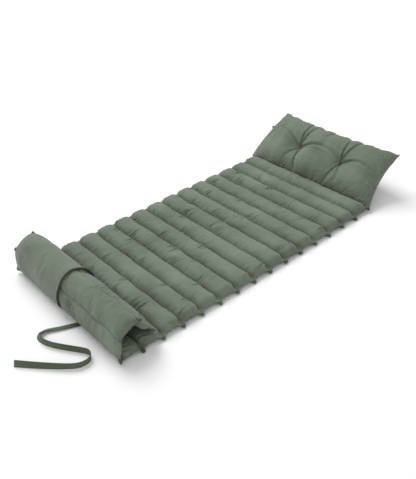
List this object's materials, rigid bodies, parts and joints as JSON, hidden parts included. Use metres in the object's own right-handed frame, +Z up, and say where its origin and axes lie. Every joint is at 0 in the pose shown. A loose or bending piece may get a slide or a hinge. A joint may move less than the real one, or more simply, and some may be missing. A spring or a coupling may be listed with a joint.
{
  "type": "roll-up futon mattress",
  "caption": "Long quilted floor mattress of cross channels with a tufted head pillow, rolled up at the foot end, with a ribbon tie.",
  "frame": {"origin": "on the floor under the middle of the object's bounding box, tie left out", "axes": "+X across the mattress to the right seen from the foot, +Y from the foot roll to the pillow, +Z up from the floor"},
  "size_m": [0.7, 1.7823, 0.1905],
  "materials": {
    "cover_cotton": "matt plain-weave cotton, sage green",
    "wadding": "loose off-white wadding",
    "tie_tape": "matt woven cotton tape, dark green",
    "tuft_thread": "waxed thread",
    "tab_tape": "blank woven tape, near black"
  },
  "bodies": {
    "channel_01": {"channel_01_cover": "cover_cotton", "channel_01_filling": "wadding", "foot_end_hem": "cover_cotton", "roll_panel_back": "cover_cotton"},
    "channel_02": {"channel_02_cover": "cover_cotton", "channel_02_filling": "wadding", "roll_panel_top": "cover_cotton"},
    "channel_03": {"channel_03_cover": "cover_cotton", "channel_03_filling": "wadding", "roll_panel_front": "cover_cotton"},
    "channel_04": {"channel_04_cover": "cover_cotton", "channel_04_filling": "wadding", "ribbon_tie": "tie_tape"},
    "channel_05": {"channel_05_cover": "cover_cotton", "channel_05_filling": "wadding"},
    "channel_06": {"channel_06_cover": "cover_cotton", "channel_06_filling": "wadding"},
    "channel_07": {"channel_07_cover": "cover_cotton", "channel_07_filling": "wadding"},
    "channel_08": {"channel_08_cover": "cover_cotton", "channel_08_filling": "wadding"},
    "channel_09": {"channel_09_cover": "cover_cotton", "channel_09_filling": "wadding"},
    "channel_10": {"channel_10_cover": "cover_cotton", "channel_10_filling": "wadding"},
    "channel_11": {"channel_11_cover": "cover_cotton", "channel_11_filling": "wadding"},
    "channel_12": {"channel_12_cover": "cover_cotton", "channel_12_filling": "wadding"},
    "channel_13": {"channel_13_cover": "cover_cotton", "channel_13_filling": "wadding"},
    "channel_14": {"channel_14_cover": "cover_cotton", "channel_14_filling": "wadding"},
    "channel_15": {"channel_15_cover": "cover_cotton", "channel_15_filling": "wadding"},
    "channel_16": {"channel_16_cover": "cover_cotton", "channel_16_filling": "wadding"},
    "channel_17": {"channel_17_cover": "cover_cotton", "channel_17_filling": "wadding"},
    "channel_18": {"channel_18_cover": "cover_cotton", "channel_18_filling": "wadding"},
    "pillow": {"pillow_cover": "cover_cotton", "pillow_filling": "wadding", "pillow_tufts": "tuft_thread", "pillow_side_tab": "tab_tape"}
  },
  "joints": [
    {"name": "seam_10", "type": "hinge", "parent": "channel_11", "child": "channel_10", "pos_m": [0, -0.1502, 0.018], "axis": [-1, 0, 0], "range_deg": [-15, 15]},
    {"name": "seam_09", "type": "hinge", "parent": "channel_10", "child": "channel_09", "pos_m": [0, -0.2364, 0.018], "axis": [-1, 0, 0], "range_deg": [-15, 15]},
    {"name": "seam_08", "type": "hinge", "parent": "channel_09", "child": "channel_08", "pos_m": [0, -0.3226, 0.018], "axis": [-1, 0, 0], "range_deg": [-15, 15]},
    {"name": "seam_07", "type": "hinge", "parent": "channel_08", "child": "channel_07", "pos_m": [0, -0.4088, 0.018], "axis": [-1, 0, 0], "range_deg": [-15, 15]},
    {"name": "seam_06", "type": "hinge", "parent": "channel_07", "child": "channel_06", "pos_m": [0, -0.495, 0.018], "axis": [-1, 0, 0], "range_deg": [-15, 15]},
    {"name": "seam_05", "type": "hinge", "parent": "channel_06", "child": "channel_05", "pos_m": [0, -0.5812, 0.018], "axis": [-1, 0, 0], "range_deg": [-15, 15]},
    {"name": "seam_04", "type": "hinge", "parent": "channel_05", "child": "channel_04", "pos_m": [0, -0.6674, 0.018], "axis": [-1, 0, 0], "range_deg": [-15, 0]},
    {"name": "foot_roll_front", "type": "hinge", "parent": "channel_04", "child": "channel_03", "pos_m": [0, -0.7536, 0.018], "axis": [-1, 0, 0], "range_deg": [-96.7, 0], "deforming": ["ribbon_tie"]},
    {"name": "foot_roll_top", "type": "hinge", "parent": "channel_03", "child": "channel_02", "pos_m": [0, -0.74354, 0.10361], "axis": [-1, 0, 0], "range_deg": [-58, 0]},
    {"name": "foot_roll_back", "type": "hinge", "parent": "channel_02", "child": "channel_01", "pos_m": [0, -0.66561, 0.14045], "axis": [-1, 0, 0], "range_deg": [-83.3, 0]},
    {"name": "seam_11", "type": "hinge", "parent": "channel_11", "child": "channel_12", "pos_m": [0, -0.064, 0.018], "axis": [1, 0, 0], "range_deg": [-15, 15]},
    {"name": "seam_12", "type": "hinge", "parent": "channel_12", "child": "channel_13", "pos_m": [0, 0.0222, 0.018], "axis": [1, 0, 0], "range_deg": [-15, 15]},
    {"name": "seam_13", "type": "hinge", "parent": "channel_13", "child": "channel_14", "pos_m": [0, 0.1084, 0.018], "axis": [1, 0, 0], "range_deg": [-15, 15]},
    {"name": "seam_14", "type": "hinge", "parent": "channel_14", "child": "channel_15", "pos_m": [0, 0.1946, 0.018], "axis": [1, 0, 0], "range_deg": [-15, 15]},
    {"name": "seam_15", "type": "hinge", "parent": "channel_15", "child": "channel_16", "pos_m": [0, 0.2808, 0.018], "axis": [1, 0, 0], "range_deg": [-15, 15]},
    {"name": "seam_16", "type": "hinge", "parent": "channel_16", "child": "channel_17", "pos_m": [0, 0.367, 0.018], "axis": [1, 0, 0], "range_deg": [-15, 15]},
    {"name": "seam_17", "type": "hinge", "parent": "channel_17", "child": "channel_18", "pos_m": [0, 0.4532, 0.018], "axis": [1, 0, 0], "range_deg": [-15, 15]},
    {"name": "pillow_fold", "type": "hinge", "parent": "channel_18", "child": "pillow", "pos_m": [0, 0.5394, 0.018], "axis": [1, 0, 0], "range_deg": [-35, 45]}
  ],
  "couplings": [
    {"joint": "foot_roll_top", "follows": "foot_roll_front", "ratio": 0.59979},
    {"joint": "foot_roll_back", "follows": "foot_roll_front", "ratio": 0.86143}
  ]
}
